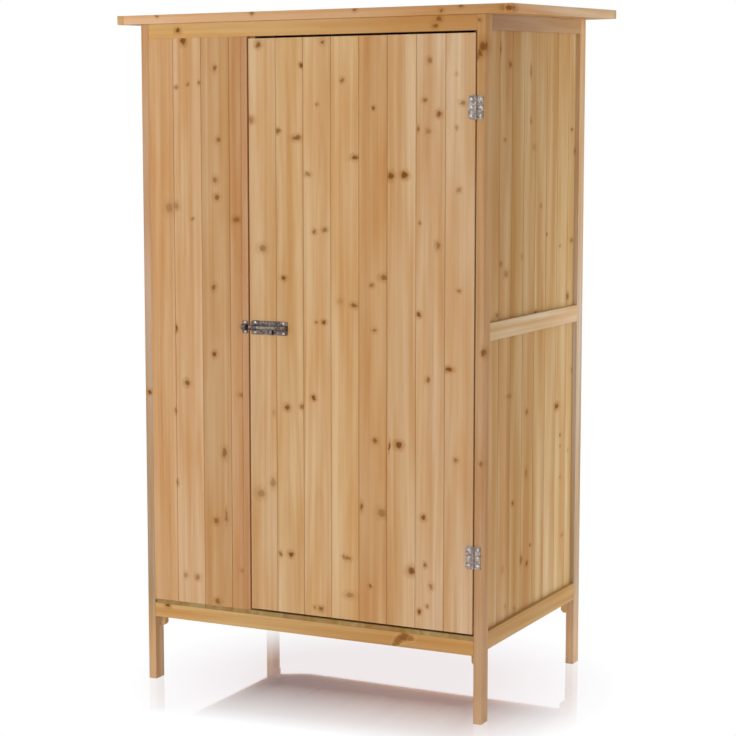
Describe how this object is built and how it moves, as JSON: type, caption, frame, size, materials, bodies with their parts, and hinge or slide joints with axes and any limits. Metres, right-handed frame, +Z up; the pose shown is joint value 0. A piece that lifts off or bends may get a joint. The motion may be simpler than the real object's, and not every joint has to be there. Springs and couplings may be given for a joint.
{
  "type": "garden storage cabinet",
  "caption": "Tall boarded fir cabinet on square-cut legs, with a lean-to roof, a fixed front panel and a side-hung boarded door on butt hinges, closed by a barrel bolt.",
  "frame": {"origin": "on the ground, under the middle of the cabinet's overall width and depth", "axes": "+Z up; -Y the front with the door; +X the cabinet's right as seen from the front, its hinge side"},
  "size_m": [0.871, 0.5826, 1.402],
  "materials": {
    "frame_fir": "planed fir, clear stain",
    "board_fir": "planed knotty fir",
    "inner_fir": "sawn and planed fir",
    "zinc_steel": "pressed steel, zinc plated",
    "roof_felt": "mineral surfaced bitumen felt"
  },
  "bodies": {
    "cabinet": {"left_front_leg": "frame_fir", "right_front_leg": "frame_fir", "left_rear_leg": "frame_fir", "right_rear_leg": "frame_fir", "left_bottom_rail": "frame_fir", "left_mid_rail": "frame_fir", "left_top_rail": "frame_fir", "right_bottom_rail": "frame_fir", "right_mid_rail": "frame_fir", "right_top_rail": "frame_fir", "front_top_rail": "frame_fir", "front_bottom_rail": "frame_fir", "back_top_rail": "frame_fir", "back_mid_rail": "frame_fir", "back_bottom_rail": "frame_fir", "front_fascia": "frame_fir", "rear_fascia": "frame_fir", "left_fascia": "frame_fir", "right_fascia": "frame_fir", "front_post": "frame_fir", "left_side_boards": "board_fir", "right_side_boards": "board_fir", "back_boards": "board_fir", "front_fixed_boards": "board_fir", "corner_cleats": "inner_fir", "floor_boards": "inner_fir", "floor_bearers": "inner_fir", "lower_shelf_boards": "inner_fir", "upper_shelf_boards": "inner_fir", "shelf_battens": "inner_fir", "shelf_cleats": "inner_fir", "door_stop": "inner_fir", "fixed_panel_battens": "inner_fir", "roof_boards": "inner_fir", "roof_felt": "roof_felt", "upper_hinge_leg_leaf": "zinc_steel", "lower_hinge_leg_leaf": "zinc_steel", "upper_hinge_pin": "zinc_steel", "lower_hinge_pin": "zinc_steel", "hinge_leg_screws": "zinc_steel", "bolt_keep": "zinc_steel", "bolt_keep_screws": "zinc_steel"},
    "door": {"door_board_1": "board_fir", "door_board_2": "board_fir", "door_board_3": "board_fir", "door_board_4": "board_fir", "door_board_5": "board_fir", "door_board_6": "board_fir", "door_board_7": "board_fir", "door_board_8": "board_fir", "door_top_ledge": "inner_fir", "door_middle_ledge": "inner_fir", "door_bottom_ledge": "inner_fir", "door_braces": "inner_fir", "upper_hinge_door_leaf": "zinc_steel", "lower_hinge_door_leaf": "zinc_steel", "hinge_door_screws": "zinc_steel", "bolt_plate": "zinc_steel", "bolt_plate_screws": "zinc_steel"},
    "bolt": {"bolt_rod": "zinc_steel"}
  },
  "joints": [
    {"name": "door_swing", "type": "hinge", "parent": "cabinet", "child": "door", "pos_m": [0.3625, -0.28298, 0.7555], "axis": [0, 0, 1], "range_deg": [0, 180]},
    {"name": "bolt_slide", "type": "slide", "parent": "door", "child": "bolt", "axis": [-1, 0, 0], "range_m": [0, 0.015]}
  ]
}
